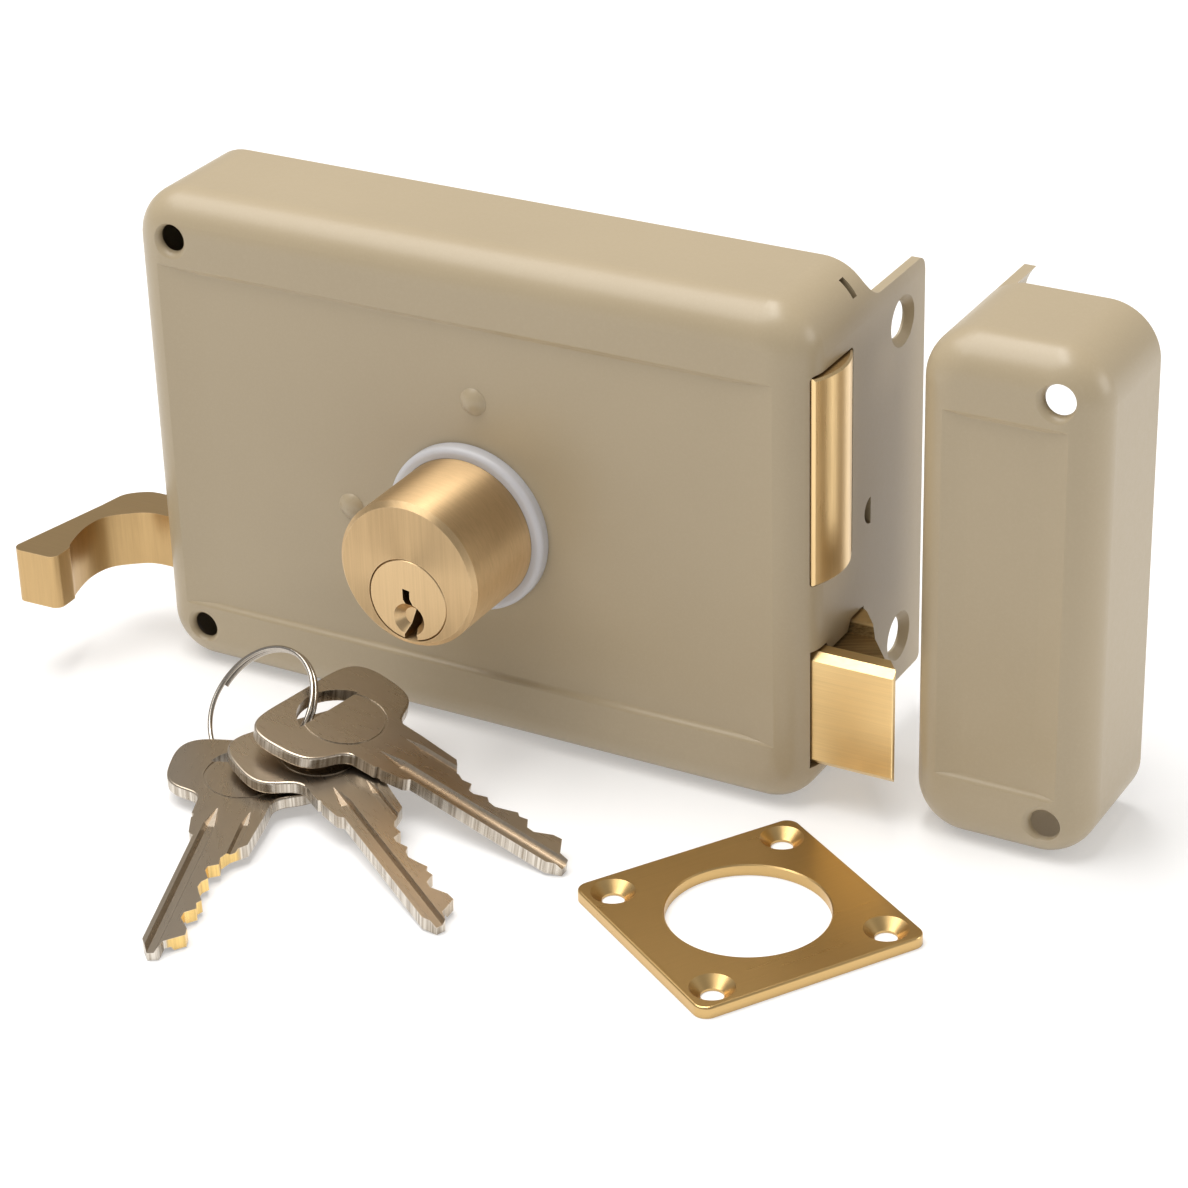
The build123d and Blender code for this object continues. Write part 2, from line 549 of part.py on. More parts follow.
deadbolt_head.part.label = "deadbolt_head"
export_step(deadbolt_head.part, "parts/deadbolt_head.step")

with BuildPart() as deadbolt_carriage:
    with BuildSketch(front_plane(car_y1)):
        with BuildLine():
            Polyline((-38, 4.0), (-16, 4.0), (-14, -1.5), (30, -1.5), (33, 5.1), (47.9, 5.1), (47.9, 31.9), (33, 31.9), (30, 33.0), (-34, 33.0), (-38, 29.0), (-38, 4.0))
        make_face()
        with Locations((posts[0][0] - throw / 2, posts[0][1])):
            SlotCenterToCenter(throw, 6.8, mode=Mode.SUBTRACT)
        with Locations((-crank_r * sin(radians(45)), 2.6)):
            Rectangle(4.8, 9.2, mode=Mode.SUBTRACT)
        with Locations((42.0, 11.0), (42.0, 26.0)):
            Circle(2.02, mode=Mode.SUBTRACT)
        with Locations((-27.0, 20.0), (18.0, 15.0)):
            Circle(5.0, mode=Mode.SUBTRACT)
    extrude(amount=car_y1 - car_y0)
deadbolt_carriage.part.label = "deadbolt_carriage"
export_step(deadbolt_carriage.part, "parts/deadbolt_carriage.step")

with BuildPart() as deadbolt_rivets:
    with BuildSketch(front_plane(bolt_y1 - 0.2)):
        with Locations((42.0, 11.0), (42.0, 26.0)):
            Circle(2.0)
    extrude(amount=bolt_y1 - bolt_y0 - 0.4)
deadbolt_rivets.part.label = "deadbolt_rivets"
export_step(deadbolt_rivets.part, "parts/deadbolt_rivets.step")

# ---- spring latch --------------------------------------------------------------------
with BuildPart() as latch_bolt:
    with BuildSketch(Plane.XY.offset(latch_z0)):
        with BuildLine():
            Polyline((latch_x0, latch_y0), (latch_tip - 0.15, latch_y0), (latch_tip, latch_y0 + 0.15), (latch_tip, latch_y0 + 0.9), (61.0, latch_y1 - 0.5), (60.3, latch_y1), (latch_x0, latch_y1), (latch_x0, latch_y0))
        make_face()
    extrude(amount=latch_z1 - latch_z0)
    chamfer(latch_bolt.faces().sort_by(Axis.Y)[0].edges().filter_by(Axis.X), 1.2)
    # groove along the top that runs under the guide tab
    with BuildSketch(right_plane(latch_x0 - 1)):
        with BuildLine():
            Polyline((-6.6, latch_z1 + 0.5), (-6.9, latch_z1), (-8.0, latch_z1 - 1.9), (-15.3, latch_z1 - 1.9), (-16.4, latch_z1), (-16.7, latch_z1 + 0.5), (-6.6, latch_z1 + 0.5))
        make_face()
    extrude(amount=60, mode=Mode.SUBTRACT)
    # pocket for the tail, and the hole of the spring guide
    with BuildSketch(right_plane(latch_x0 - 1)):
        with Locations(((tail_y0 + tail_y1) / 2, (tail_z0 + tail_z1) / 2)):
            Rectangle(tail_y1 - tail_y0 + 0.1, tail_z1 - tail_z0 + 0.1)
    extrude(amount=11.1, mode=Mode.SUBTRACT)
    with BuildSketch(right_plane(latch_x0 - 1)):
        with Locations((spring_y, spring_z)):
            Circle(1.55)
    extrude(amount=7.1, mode=Mode.SUBTRACT)
    with BuildSketch(front_plane(0)):
        with Locations((39.0, (tail_z0 + tail_z1) / 2)):
            Circle(1.52)
    extrude(amount=30, mode=Mode.SUBTRACT)
latch_bolt.part.label = "latch_bolt"
export_step(latch_bolt.part, "parts/latch_bolt.step")

with BuildPart() as latch_tail:
    with BuildSketch(front_plane(tail_y1)):
        with BuildLine():
            Polyline((-53.5, tail_z0), (44.0, tail_z0), (44.0, tail_z1), (-53.5, tail_z1), (-53.5, tail_z0))
        make_face()
        with Locations((39.0, (tail_z0 + tail_z1) / 2)):
            Circle(1.52, mode=Mode.SUBTRACT)
        with Locations((-47.0, (tail_z0 + tail_z1) / 2)):
            SlotCenterToCenter(6.0, 3.1, mode=Mode.SUBTRACT)
    extrude(amount=tail_y1 - tail_y0)
latch_tail.part.label = "latch_tail"
export_step(latch_tail.part, "parts/latch_tail.step")

with BuildPart() as latch_tail_pin:
    with BuildSketch(front_plane(latch_y1 - 0.2)):
        with Locations((39.0, (tail_z0 + tail_z1) / 2)):
            Circle(1.5)
    extrude(amount=latch_y1 - latch_y0 - 0.4)
latch_tail_pin.part.label = "latch_tail_pin"
export_step(latch_tail_pin.part, "parts/latch_tail_pin.step")

with BuildPart() as latch_spring_guide:
    with BuildSketch(right_plane(2.0)):
        with Locations((spring_y, spring_z)):
            Circle(1.5)
    extrude(amount=latch_x0 + 6.0 - 2.0)
latch_spring_guide.part.label = "latch_spring_guide"
export_step(latch_spring_guide.part, "parts/latch_spring_guide.step")

with BuildPart() as latch_spring:
    with BuildLine() as coil:
        Helix(pitch=3.0, height=20.7, radius=2.35, center=(12.65, spring_y, spring_z), direction=(1, 0, 0))
    with BuildSketch(Plane(origin=coil.line @ 0, z_dir=coil.line % 0)):
        Circle(0.4)
    sweep(is_frenet=True)
latch_spring.part.label = "latch_spring"
export_step(latch_spring.part, "parts/latch_spring.step")

with BuildPart() as latch_spring_bracket:
    with BuildSketch(Plane.XY.offset(-32.6)):
        with BuildLine():
            Polyline((0.5, -plate_t - 0.05), (12.0, -plate_t - 0.05), (12.0, -17.5), (10.5, -17.5), (10.5, -3.05), (0.5, -3.05), (0.5, -plate_t - 0.05))
        make_face()
    extrude(amount=7.4)
    with BuildSketch(right_plane(9)):
        with Locations((spring_y, spring_z)):
            Circle(1.85)
    extrude(amount=5, mode=Mode.SUBTRACT)
    with BuildSketch(front_plane(0)):
        with Locations((4.0, -30.6), (4.0, -27.0)):
            Circle(1.3)
    extrude(amount=5, mode=Mode.SUBTRACT)
latch_spring_bracket.part.label = "latch_spring_bracket"
export_step(latch_spring_bracket.part, "parts/latch_spring_bracket.step")

with BuildPart() as bracket_rivets:
    with BuildSketch(front_plane(-0.1)):
        with Locations((4.0, -30.6), (4.0, -27.0)):
            Circle(1.25)
    extrude(amount=3.0)
    with BuildSketch(front_plane(-3.1)):
        with Locations((4.0, -30.6), (4.0, -27.0)):
            Circle(1.7)
    extrude(amount=0.7)
bracket_rivets.part.label = "bracket_rivets"
export_step(bracket_rivets.part, "parts/bracket_rivets.step")

# ---- pull handle -----------------------------------------------------------------------
with BuildPart() as pull_handle:
    with BuildSketch(Plane.XY.offset(hand_z0)):
        with BuildLine():
            l1 = Line((-46.0, -16.75), (-66.0, -16.75))
            l2 = Spline((-66.0, -16.75), (-69.5, -17.3), (-72.2, -19.1), (-74.5, -21.3), (-75.6, -25.3), (-75.0, -29.8), (-73.9, -33.2), (-73.4, -36.8), tangents=[(-1, 0), (0, -1)])
            l3 = Polyline((-73.4, -36.8), (-73.4, -38.3), (-82.5, -38.5), (-78.1, -18.3), (-77.4, -14.3))
            l4 = Spline((-77.4, -14.3), (-75.9, -11.8), (-74.1, -10.5), (-71.1, -9.9), tangents=[(0.18, 1), (1, 0)])
            l5 = Polyline((-71.1, -9.9), (-46.0, -9.9), (-46.0, -16.75))
        make_face()
    extrude(amount=hand_z1 - hand_z0)
    fillet(pull_handle.edges().filter_by(Axis.Z).filter_by(lambda e: e.center().Y < -38.0), 1.6)
    # fork for the latch tail, and the hole of the cross pin
    with BuildSketch(right_plane(-45.0)):
        with Locations(((tail_y0 + tail_y1) / 2, (tail_z0 + tail_z1) / 2)):
            Rectangle(tail_y1 - tail_y0 + 0.7, tail_z1 - tail_z0 + 0.7)
    extrude(amount=-13.0, mode=Mode.SUBTRACT)
    with BuildSketch(front_plane(0)):
        with Locations((-50.0, (tail_z0 + tail_z1) / 2)):
            Circle(1.27)
    extrude(amount=30, mode=Mode.SUBTRACT)
pull_handle.part.label = "pull_handle"
export_step(pull_handle.part, "parts/pull_handle.step")

with BuildPart() as handle_pin:
    with BuildSketch(front_plane(-10.0)):
        with Locations((-50.0, (tail_z0 + tail_z1) / 2)):
            Circle(1.25)
    extrude(amount=6.6)
handle_pin.part.label = "handle_pin"
export_step(handle_pin.part, "parts/handle_pin.step")

# ---- box strike ----------------------------------------------------------------------------
sxc, szc = st_x + st_w / 2, z_bot + st_h / 2
st_back = st_y + st_d
st_panel = st_y + panel_step
st_run = 7.0
drop, run_x, run_y = run_out(st_run)

with BuildPart() as strike_recess:
    with BuildSketch(Plane.YZ.offset(st_x)):
        with BuildLine():
            l1 = Line((st_panel, panel_z0 + step_run), (st_panel, panel_z1 - step_run))
            l2 = ThreePointArc((st_panel, panel_z1 - step_run), (st_panel - step_dy, panel_z1 - step_run + step_dz), (st_panel - rise / 2, panel_z1))
            l3 = ThreePointArc((st_panel - rise / 2, panel_z1), (st_panel - rise + step_dy, panel_z1 + step_run - step_dz), (st_panel - rise, panel_z1 + step_run))
            l4 = Polyline((st_panel - rise, panel_z1 + step_run), (st_y - 1, panel_z1 + step_run), (st_y - 1, panel_z0 - step_run), (st_panel - rise, panel_z0 - step_run))
            l5 = ThreePointArc((st_panel - rise, panel_z0 - step_run), (st_panel - rise + step_dy, panel_z0 - step_run + step_dz), (st_panel - rise / 2, panel_z0))
            l6 = ThreePointArc((st_panel - rise / 2, panel_z0), (st_panel - step_dy, panel_z0 + step_run - step_dz), (st_panel, panel_z0 + step_run))
        make_face()
    extrude(amount=st_w)
    with BuildSketch(Plane.XY.offset(z_bot)):
        with BuildLine():
            l1 = Polyline((st_x + 3.0, st_panel + 0.02 - drop), (st_x + 3.0, st_y - 2), (st_x + st_w - 3.0, st_y - 2), (st_x + st_w - 3.0, st_panel + 0.02 - drop))
            l2 = ThreePointArc((st_x + st_w - 3.0, st_panel + 0.02 - drop), (st_x + st_w - 3.0 - st_run + run_x, st_panel + 0.02 - run_y), (st_x + st_w - 3.0 - st_run, st_panel + 0.02))
            l3 = Line((st_x + st_w - 3.0 - st_run, st_panel + 0.02), (st_x + 3.0 + st_run, st_panel + 0.02))
            l4 = ThreePointArc((st_x + 3.0 + st_run, st_panel + 0.02), (st_x + 3.0 + st_run - run_x, st_panel + 0.02 - run_y), (st_x + 3.0, st_panel + 0.02 - drop))
        make_face()
    extrude(amount=st_h, mode=Mode.INTERSECT)

with BuildPart() as strike_hollow:
    with BuildSketch(front_plane(st_back + 1, sxc, szc)):
        RectangleRounded(st_w - 2 * sheet, st_h - 2 * sheet, corner_r - sheet)
    extrude(amount=st_d - front_wall + 1.0)
    fillet(strike_hollow.faces().sort_by(Axis.Y)[0].edges(), edge_r - 2.3)

with BuildPart() as strike_flange:
    with BuildSketch(back_plane(st_back - 2.0, sxc, szc)):
        RectangleRounded(st_w, st_h, corner_r)
        RectangleRounded(st_w - 2 * sheet, st_h - 2 * sheet, corner_r - sheet, mode=Mode.SUBTRACT)
    extrude(amount=flange_y - st_back + 2.0)
    with BuildSketch(right_plane(st_x - 1)):
        with BuildLine():
            Polyline((st_back - 3, st_flange_z1 + 2.0), (st_back, st_flange_z1 + 2.0))
            ThreePointArc((st_back, st_flange_z1 + 2.0), (st_back + 0.586, st_flange_z1 + 0.586), (st_back + 2.0, st_flange_z1))
            Line((st_back + 2.0, st_flange_z1), (flange_y - 1.2, st_flange_z1))
            ThreePointArc((flange_y - 1.2, st_flange_z1), (flange_y - 0.3515, st_flange_z1 - 0.3515), (flange_y, st_flange_z1 - 1.2))
            Line((flange_y, st_flange_z1 - 1.2), (flange_y, flange_z0 + 1.2))
            ThreePointArc((flange_y, flange_z0 + 1.2), (flange_y - 0.3515, flange_z0 + 0.3515), (flange_y - 1.2, flange_z0))
            Line((flange_y - 1.2, flange_z0), (st_back + 2.0, flange_z0))
            ThreePointArc((st_back + 2.0, flange_z0), (st_back + 0.586, flange_z0 - 0.586), (st_back, flange_z0 - 2.0))
            Polyline((st_back, flange_z0 - 2.0), (st_back - 3, flange_z0 - 2.0), (st_back - 3, st_flange_z1 + 2.0))
        make_face()
    extrude(amount=7, mode=Mode.INTERSECT)

with BuildPart() as strike_box:
    with BuildSketch(front_plane(st_back, sxc, szc)):
        RectangleRounded(st_w, st_h, corner_r)
    extrude(amount=st_d)
    fillet(strike_box.faces().sort_by(Axis.Y)[0].edges(), edge_r)
    add(strike_recess.part, mode=Mode.SUBTRACT)
    add(strike_hollow.part, mode=Mode.SUBTRACT)
    add(strike_flange.part)
    # screw holes with a rounded lip, thinned behind
    for hx, hz in st_holes:
        with BuildSketch(Plane(origin=(hx, 0, hz), x_dir=(1, 0, 0), z_dir=(0, 0, 1))):
            with BuildLine():
                Polyline((0, st_y + 4), (0, st_y - 1), (3.8, st_y - 1), (3.8, st_y - 0.03))
                ThreePointArc((3.8, st_y - 0.03), (2.881, st_y + 0.351), (2.5, st_y + 1.27))
                Polyline((2.5, st_y + 1.27), (2.5, st_y + 4), (0, st_y + 4))
            make_face()
        revolve(axis=Axis((hx, 0, hz), (0, 1, 0)), mode=Mode.SUBTRACT)
    with BuildSketch(front_plane(st_y + 1.5)):
        with Locations(*st_holes):
            Circle(3.6)
    extrude(amount=-3, mode=Mode.SUBTRACT)
    # mouths for the deadbolt and the latch in the side that faces the lock
    with BuildSketch(right_plane(st_x - 1)):
        with Locations((-8.3, (bolt_z0 + bolt_z1) / 2)):
            RectangleRounded(14.6, bolt_z1 - bolt_z0 + 2.0, 0.8)
        with Locations((-6.0, (latch_z0 + latch_z1) / 2)):
            RectangleRounded(18.6, latch_z1 - latch_z0 + 1.6, 0.8)
    extrude(amount=4, mode=Mode.SUBTRACT)
    with Locations(Plane(origin=(st_x, 0, 0), x_dir=(0, -1, 0), z_dir=(-1, 0, 0))):
        with Locations(*[(-y - 1.0, z) for y, z in flange_holes]):
            CounterSinkHole(radius=flange_hole_r, counter_sink_radius=4.3, depth=4, counter_sink_angle=95)
strike_box.part.label = "strike_box"
export_step(strike_box.part, "parts/strike_box.step")

# ---- square plate for the outside cylinder ---------------------------------------------------
plate_plane = Plane(origin=(pl_c[0], pl_c[1], z_bot), x_dir=(cos(radians(pl_rot)), sin(radians(pl_rot)), 0), z_dir=(0, 0, 1))
with BuildPart() as cylinder_plate:
    with BuildSketch(plate_plane):
        RectangleRounded(pl_side, pl_side, 2.2)
    extrude(amount=pl_t)
    fillet(cylinder_plate.faces().sort_by(Axis.Z)[-1].edges(), 0.4)
    with BuildSketch(plate_plane):
        Circle(pl_hole_r)
    extrude(amount=3, mode=Mode.SUBTRACT)
    chamfer(cylinder_plate.edges().filter_by(GeomType.CIRCLE).filter_by(lambda e: abs(e.radius - pl_hole_r) < 0.01 and e.center().Z > z_bot + 1), 0.2)
    with Locations(plate_plane.offset(pl_t)):
        with Locations((pl_half, pl_half), (-pl_half, pl_half), (pl_half, -pl_half), (-pl_half, -pl_half)):
            CounterSinkHole(radius=1.77, counter_sink_radius=3.5, depth=3, counter_sink_angle=98)
cylinder_plate.part.label = "cylinder_plate"
export_step(cylinder_plate.part, "parts/cylinder_plate.step")

# ---- keys and their split ring ------------------------------------------------------------------
# half outline of the bow, measured along the blade and out from the middle line
bow_half = [(-12.6, 6.1), (-13.9, 6.75), (-15.5, 9.8), (-17.2, 12.1), (-19.4, 13.1), (-22.6, 13.5), (-26.3, 13.4), (-28.5, 12.45), (-29.7, 10.75), (-30.2, 8.4), (-30.3, 4.0)]
bow_line = [(s, key_mid - h) for s, h in bow_half] + [(-30.3, key_mid)] + [(s, key_mid + h) for s, h in bow_half[::-1]]
# neck, plain back and cut edge of the blade
blade_line = [(-13.2, key_mid + 6.0), (-13.2, key_mid - 6.0), (-8.5, -1.85), (-8.3, -1.45), (-7.6, -1.45), (-7.4, -1.65), (-3.4, -0.9), (-2.9, -0.5), (-2.6, 0.0), (25.2, 0.0), (27.6, 1.3),
              (27.3, 2.9), (25.4, 3.3), (23.4, 6.2), (21.8, 6.0), (19.2, 4.3), (17.8, 4.4), (16.6, 6.0), (15.2, 5.6), (14.4, 6.2), (12.6, 5.3), (11.0, 4.6), (9.6, 4.8), (8.6, 5.6),
              (6.6, 4.6), (5.5, 4.7), (4.7, 6.3), (3.0, 6.0), (1.2, 6.9), (-0.2, 8.5), (-1.0, 9.3), (-7.4, 9.75), (-8.5, 9.85), (-13.2, key_mid + 6.0)]
# sections of the long grooves: across the blade, and through its thickness
groove_top = [(0.7, key_t + 0.05), (1.25, key_t - 0.85), (2.35, key_t - 0.85), (2.9, key_t + 0.05)]
groove_top_tip = [(1.7, key_t + 0.05), (1.78, key_t - 0.06), (1.9, key_t - 0.06), (1.98, key_t + 0.05)]
groove_side = [(6.6, key_t + 0.05), (7.0, key_t - 0.6), (7.7, key_t - 0.6), (8.1, key_t + 0.05)]
groove_side_tip = [(7.2, key_t + 0.05), (7.26, key_t - 0.05), (7.4, key_t - 0.05), (7.46, key_t + 0.05)]
groove_under = [(3.0, -0.05), (3.4, 0.75), (4.2, 0.75), (4.6, -0.05)]


def key_plane(pose):
    tx, ty, yaw, tilt = pose
    a, t = radians(yaw), radians(tilt)
    d = Vector(cos(a) * cos(t), sin(a) * cos(t), -sin(t))
    n = Vector(-sin(a), cos(a), 0)
    o = Vector(tx, ty, z_bot + 0.02) - d * key_bl - n * key_mid
    return Plane(origin=o, x_dir=d, z_dir=d.cross(n))


def blade_section(kp, s):
    """Plane across the blade at s, its own x across the blade and y through the thickness."""
    return Plane(origin=kp.origin + kp.x_dir * s, x_dir=kp.y_dir, z_dir=kp.x_dir)


for index, pose in enumerate(key_pose):
    kp = key_plane(pose)
    with BuildPart() as key:
        with BuildSketch(kp):
            with BuildLine():
                Spline(*bow_line)
                Line(bow_line[-1], bow_line[0])
            make_face()
        extrude(amount=key_t)
        fillet([e for e in key.edges() if e.geom_type == GeomType.BSPLINE], 0.35)
        with BuildSketch(kp):
            with BuildLine():
                Polyline(*blade_line)
            make_face()
        extrude(amount=key_t)
        # slot for the ring, with the rim of the stamped disc carried on below it
        with BuildSketch(kp.offset(-1)):
            with Locations((-20.7, key_mid)):
                Circle(7.5)
            with Locations((-28.6, key_mid)):
                Rectangle(10.0, 20.0, mode=Mode.INTERSECT)
        extrude(amount=6, mode=Mode.SUBTRACT)
        with BuildSketch(kp.offset(key_t - 0.16)):
            with Locations((-20.5, key_mid)):
                Circle(7.1)
                Circle(6.65, mode=Mode.SUBTRACT)
        extrude(amount=1, mode=Mode.SUBTRACT)
        with BuildSketch(kp.offset(0.16)):
            with Locations((-20.5, key_mid)):
                Circle(7.1)
                Circle(6.65, mode=Mode.SUBTRACT)
        extrude(amount=-1, mode=Mode.SUBTRACT)
        # long grooves that match the keyway, running out to a point on the neck
        with BuildSketch(blade_section(kp, -10.6)):
            with BuildLine():
                Polyline(*groove_top_tip, close=True)
            make_face()
        with BuildSketch(blade_section(kp, -6.4)):
            with BuildLine():
                Polyline(*groove_top, close=True)
            make_face()
        loft(mode=Mode.SUBTRACT)
        with BuildSketch(blade_section(kp, -6.4)):
            with BuildLine():
                Polyline(*groove_top, close=True)
            make_face()
        extrude(amount=40, mode=Mode.SUBTRACT)
        with BuildSketch(blade_section(kp, -10.0)):
            with BuildLine():
                Polyline(*groove_side_tip, close=True)
            make_face()
        with BuildSketch(blade_section(kp, -7.0)):
            with BuildLine():
                Polyline(*groove_side, close=True)
            make_face()
        loft(mode=Mode.SUBTRACT)
        with BuildSketch(blade_section(kp, -7.0)):
            with BuildLine():
                Polyline(*groove_side, close=True)
            make_face()
        extrude(amount=40, mode=Mode.SUBTRACT)
        with BuildSketch(blade_section(kp, -6.0)):
            with BuildLine():
                Polyline(*groove_under, close=True)
            make_face()
        extrude(amount=40, mode=Mode.SUBTRACT)
    key.part.label = f"key_{index + 1}"
    export_step(key.part, f"parts/key_{index + 1}.step")

# split ring: one length of wire in nearly two turns, stepping from one turn to the other
ring_n = Vector(sin(ring_th) * cos(ring_ph), sin(ring_th) * sin(ring_ph), cos(ring_th))
ring_plane = Plane(origin=ring_c, x_dir=(-sin(ring_ph), cos(ring_ph), 0), z_dir=ring_n)
ring_pts = []
for i in range(106):
    turn = 0.10 + 1.75 * i / 105
    k = min(1.0, max(0.0, (turn - 0.88) / 0.20))
    lift = (0.5 - k * k * (3 - 2 * k)) * ring_pitch
    a = 2 * pi * turn + radians(ring_start)
    ring_pts.append(ring_plane.from_local_coords(Vector(ring_r * cos(a), ring_r * sin(a), lift)))
with BuildPart() as key_ring:
    with BuildLine() as wire_path:
        Spline(*ring_pts)
    with BuildSketch(Plane(origin=wire_path.line @ 0, z_dir=wire_path.line % 0)):
        Circle(ring_wire_r)
    sweep()
key_ring.part.label = "key_ring"
export_step(key_ring.part, "parts/key_ring.step")
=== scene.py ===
import json
import math

import bmesh
import bpy
from mathutils import Matrix, Vector


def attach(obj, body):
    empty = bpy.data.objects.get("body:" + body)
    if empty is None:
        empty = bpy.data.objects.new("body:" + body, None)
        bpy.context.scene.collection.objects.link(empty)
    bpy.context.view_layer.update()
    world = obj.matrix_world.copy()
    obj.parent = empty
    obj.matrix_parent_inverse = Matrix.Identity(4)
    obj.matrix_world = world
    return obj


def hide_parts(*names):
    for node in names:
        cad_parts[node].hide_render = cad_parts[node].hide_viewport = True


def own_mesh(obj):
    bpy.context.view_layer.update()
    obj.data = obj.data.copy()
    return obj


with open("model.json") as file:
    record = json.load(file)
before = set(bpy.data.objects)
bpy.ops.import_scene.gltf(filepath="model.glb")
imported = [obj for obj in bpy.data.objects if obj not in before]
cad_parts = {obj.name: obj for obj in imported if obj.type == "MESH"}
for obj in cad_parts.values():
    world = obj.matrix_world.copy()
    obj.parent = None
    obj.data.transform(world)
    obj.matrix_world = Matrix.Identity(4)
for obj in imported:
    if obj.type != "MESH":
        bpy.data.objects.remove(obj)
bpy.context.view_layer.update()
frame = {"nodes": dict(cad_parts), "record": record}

nodes = frame["nodes"]
scene = bpy.context.scene
MM = 0.001
FLOOR_Z = -38.7 * MM


# ---------------------------------------------------------------- camera
def make_camera():
    az, el, roll = math.radians(29.838), math.radians(27.836), math.radians(-1.751)
    look = Vector((-math.sin(az) * math.cos(el), math.cos(az) * math.cos(el), -math.sin(el)))
    right = Vector((math.cos(az), math.sin(az), 0.0))
    up = Vector((-math.sin(az) * math.sin(el), math.cos(az) * math.sin(el), math.cos(el)))
    x_axis = right * math.cos(roll) + up * math.sin(roll)
    y_axis = up * math.cos(roll) - right * math.sin(roll)
    z_axis = -look
    data = bpy.data.cameras.new("camera")
    data.sensor_fit = "HORIZONTAL"
    data.sensor_width = 36.0
    data.lens = 108.692
    data.clip_start, data.clip_end = 0.01, 50.0
    cam = bpy.data.objects.new("camera", data)
    scene.collection.objects.link(cam)
    m = Matrix.Identity(4)
    for row in range(3):
        m[row][0], m[row][1], m[row][2] = x_axis[row], y_axis[row], z_axis[row]
    m[0][3], m[1][3], m[2][3] = 0.273128, -0.460111, 0.258713
    cam.matrix_world = m
    scene.camera = cam


make_camera()


# ---------------------------------------------------------------- node graphs
class Graph:
    """A material's node tree, with short calls for the nodes the finishes need."""

    def __init__(self, name):
        self.mat = bpy.data.materials.new(name)
        self.mat.use_nodes = True
        self.tree = self.mat.node_tree
        self.tree.nodes.clear()
        self.out = self.node("ShaderNodeOutputMaterial")
        self.bsdf = self.node("ShaderNodeBsdfPrincipled")
        self.link(self.bsdf.outputs["BSDF"], self.out.inputs["Surface"])
        self._coord = None
        self._normal = None

    def node(self, kind, **props):
        n = self.tree.nodes.new(kind)
        for key, value in props.items():
            setattr(n, key, value)
        return n

    def link(self, a, b):
        self.tree.links.new(a, b)

    def put(self, socket, value):
        if hasattr(value, "is_output"):
            self.link(value, socket)
        else:
            socket.default_value = value

    def tex(self):
        if self._coord is None:
            self._coord = self.node("ShaderNodeTexCoord")
        return self._coord

    def place(self):
        """Place in the part's own frame at rest, in metres."""
        return self.tex().outputs["Object"]

    def normal(self):
        """The face normal in the part's own frame."""
        return self.tex().outputs["Normal"]

    def vec(self, op, a, b=None, scale=None):
        n = self.node("ShaderNodeVectorMath", operation=op)
        self.put(n.inputs[0], a)
        if b is not None:
            self.put(n.inputs[1], b)
        if scale is not None:
            self.put(n.inputs["Scale"], scale)
        return n.outputs["Value"] if op in ("DOT_PRODUCT", "LENGTH", "DISTANCE") else n.outputs["Vector"]

    def math(self, op, a, b=None, clamp=False):
        n = self.node("ShaderNodeMath", operation=op, use_clamp=clamp)
        self.put(n.inputs[0], a)
        if b is not None:
            self.put(n.inputs[1], b)
        return n.outputs[0]

    def span(self, value, a, b, c=0.0, d=1.0, smooth=False):
        n = self.node("ShaderNodeMapRange", clamp=True)
        if smooth:
            n.interpolation_type = "SMOOTHSTEP"
        self.put(n.inputs["Value"], value)
        for key, number in (("From Min", a), ("From Max", b), ("To Min", c), ("To Max", d)):
            n.inputs[key].default_value = number
        return n.outputs["Result"]

    def noise(self, vector, scale, detail=2.0, rough=0.5, distort=0.0):
        n = self.node("ShaderNodeTexNoise")
        self.put(n.inputs["Vector"], vector)
        n.inputs["Scale"].default_value = scale
        n.inputs["Detail"].default_value = detail
        n.inputs["Roughness"].default_value = rough
        n.inputs["Distortion"].default_value = distort
        return n.outputs["Fac"]

    def cells(self, vector, scale, feature="F1"):
        n = self.node("ShaderNodeTexVoronoi", feature=feature)
        self.put(n.inputs["Vector"], vector)
        n.inputs["Scale"].default_value = scale
        return n

    def mix(self, fac, a, b, blend="MIX"):
        n = self.node("ShaderNodeMix", data_type="RGBA", blend_type=blend)
        self.put(n.inputs[0], fac)
        self.put(n.inputs[6], a if hasattr(a, "is_output") else (*a, 1.0))
        self.put(n.inputs[7], b if hasattr(b, "is_output") else (*b, 1.0))
        return n.outputs[2]

    def blend(self, fac, a, b):
        n = self.node("ShaderNodeMix", data_type="FLOAT")
        self.put(n.inputs[0], fac)
        self.put(n.inputs[2], a)
        self.put(n.inputs[3], b)
        return n.outputs[0]

    def blend_vec(self, fac, a, b):
        n = self.node("ShaderNodeMix", data_type="VECTOR")
        self.put(n.inputs[0], fac)
        self.put(n.inputs[4], a)
        self.put(n.inputs[5], b)
        return n.outputs[1]

    def bump(self, height, strength, distance, normal=None):
        n = self.node("ShaderNodeBump")
        n.inputs["Strength"].default_value = strength
        n.inputs["Distance"].default_value = distance
        self.put(n.inputs["Height"], height)
        if normal is not None:
            self.put(n.inputs["Normal"], normal)
        return n.outputs["Normal"]

    def edges(self, radius, low=0.02, high=0.30):
        """1 on outside and inside edges, 0 on flats: how far a rounded normal leans off the face's own."""
        bev = self.node("ShaderNodeBevel", samples=4)
        bev.inputs["Radius"].default_value = radius
        geo = self.node("ShaderNodeNewGeometry")
        d = self.vec("DOT_PRODUCT", bev.outputs["Normal"], geo.outputs["Normal"])
        return self.span(self.math("SUBTRACT", 1.0, d), low, high)

    def hollow(self, distance):
        """1 in the open, towards 0 in corners and gaps."""
        n = self.node("ShaderNodeAmbientOcclusion", samples=8)
        n.inputs["Distance"].default_value = distance
        return n.outputs["AO"]

